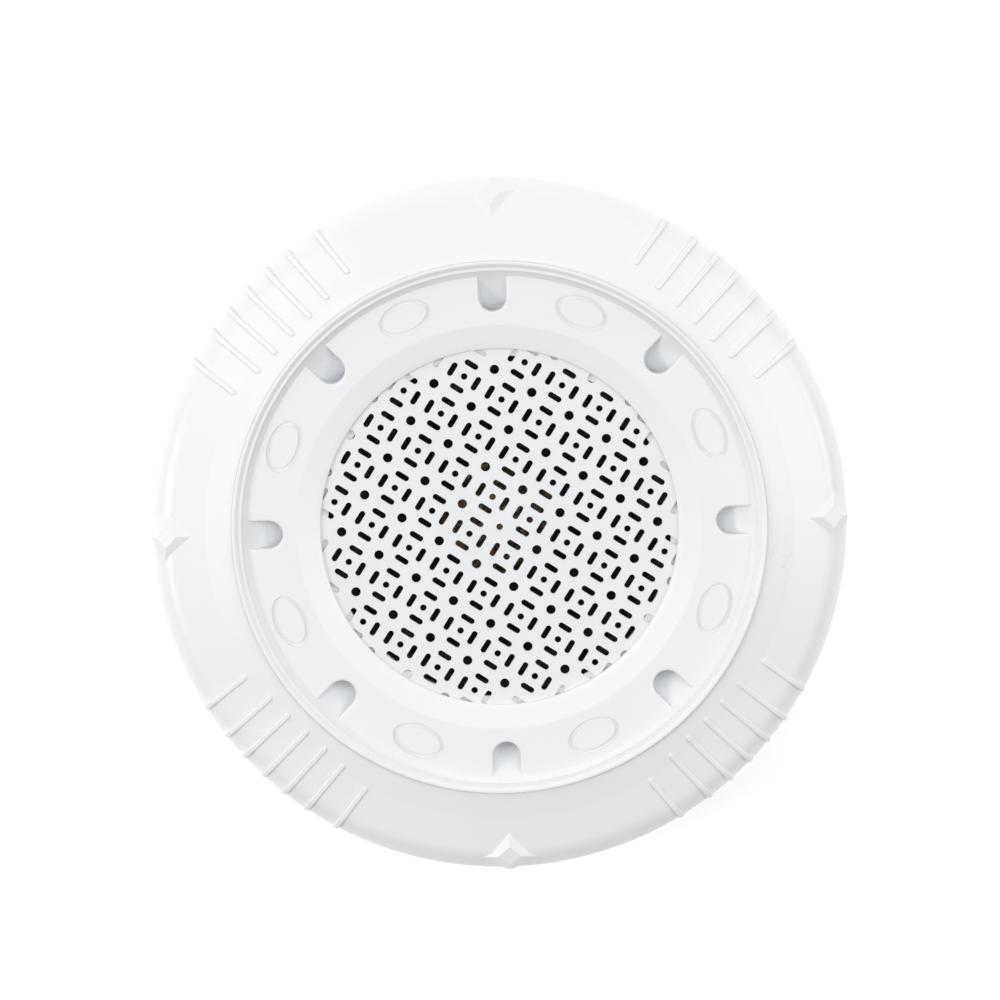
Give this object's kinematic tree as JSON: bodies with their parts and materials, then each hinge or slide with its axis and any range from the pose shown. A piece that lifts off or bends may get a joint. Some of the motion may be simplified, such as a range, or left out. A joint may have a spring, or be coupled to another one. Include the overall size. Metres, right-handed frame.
{
  "type": "ceiling loudspeaker",
  "caption": "Round white surface-mounted ceiling loudspeaker with a perforated grille, a dished shell with grip ribs, and finger scoops round the bezel.",
  "frame": {"origin": "centre of the mounting face that sits against the ceiling", "axes": "+Z out of the grille, +Y towards one of the four raised diamonds, +X completes a right-handed frame"},
  "size_m": [0.193, 0.193, 0.055],
  "materials": {
    "white_shell": "satin moulded ABS",
    "white_grille": "white powder coat on perforated sheet",
    "white_base": "fine-textured moulded ABS",
    "black_rubber": "matte rubber",
    "grey_foam": "closed-cell foam",
    "zinc_screws": "zinc-plated steel",
    "black_steel": "black-painted pressed steel",
    "zinc_steel": "zinc-plated steel",
    "dark_ferrite": "ground ferrite",
    "cone_paper": "black pressed paper",
    "dust_cap_paper": "lacquered brown paper",
    "spider_cloth": "impregnated woven cloth",
    "former_foil": "thin foil",
    "copper_wire": "enamelled copper",
    "brown_board": "laminated paper board",
    "brass_lugs": "tinned brass",
    "core_steel": "varnished laminations",
    "winding_tape": "yellow polyester tape",
    "terminal_plastic": "moulded polyamide",
    "capacitor_case": "epoxy-filled box",
    "red_lead": "PVC insulation",
    "black_lead": "PVC insulation"
  },
  "bodies": {
    "base": {"mounting_base": "white_base", "cable_grommet": "black_rubber", "base_seal": "grey_foam"},
    "housing": {"front_shell": "white_shell", "basket": "black_steel", "surround": "black_rubber", "basket_gasket": "grey_foam", "spider": "spider_cloth", "top_plate": "zinc_steel", "magnet": "dark_ferrite", "yoke": "zinc_steel", "driver_terminal_strip": "brown_board", "terminal_lugs": "brass_lugs", "tinsel_leads": "copper_wire", "driver_screws": "zinc_screws", "transformer_core": "core_steel", "transformer_winding": "winding_tape", "transformer_bracket": "zinc_steel", "transformer_screws": "zinc_screws", "terminal_block": "terminal_plastic", "clamp_screws": "zinc_screws", "block_screws": "zinc_screws", "capacitor": "capacitor_case", "line_leads": "red_lead", "driver_leads": "black_lead"},
    "bezel": {"bezel_ring": "white_shell", "grille": "white_grille", "grille_retainer": "white_shell", "retainer_screws": "zinc_screws"},
    "cone_assembly": {"cone": "cone_paper", "dust_cap": "dust_cap_paper", "voice_coil_former": "former_foil", "voice_coil_winding": "copper_wire"}
  },
  "joints": [
    {"name": "housing_twist", "type": "hinge", "parent": "base", "child": "housing", "pos_m": [0, 0, 0.006], "axis": [0, 0, 1], "range_deg": [0, 20]},
    {"name": "bezel_twist", "type": "hinge", "parent": "housing", "child": "bezel", "pos_m": [0, 0, 0.047], "axis": [0, 0, 1], "range_deg": [0, 15]},
    {"name": "cone_travel", "type": "slide", "parent": "housing", "child": "cone_assembly", "axis": [0, 0, 1], "range_m": [-0.0015, 0.0015], "stiffness_N_per_m": 1200, "deforming": ["surround", "spider", "tinsel_leads"]}
  ]
}
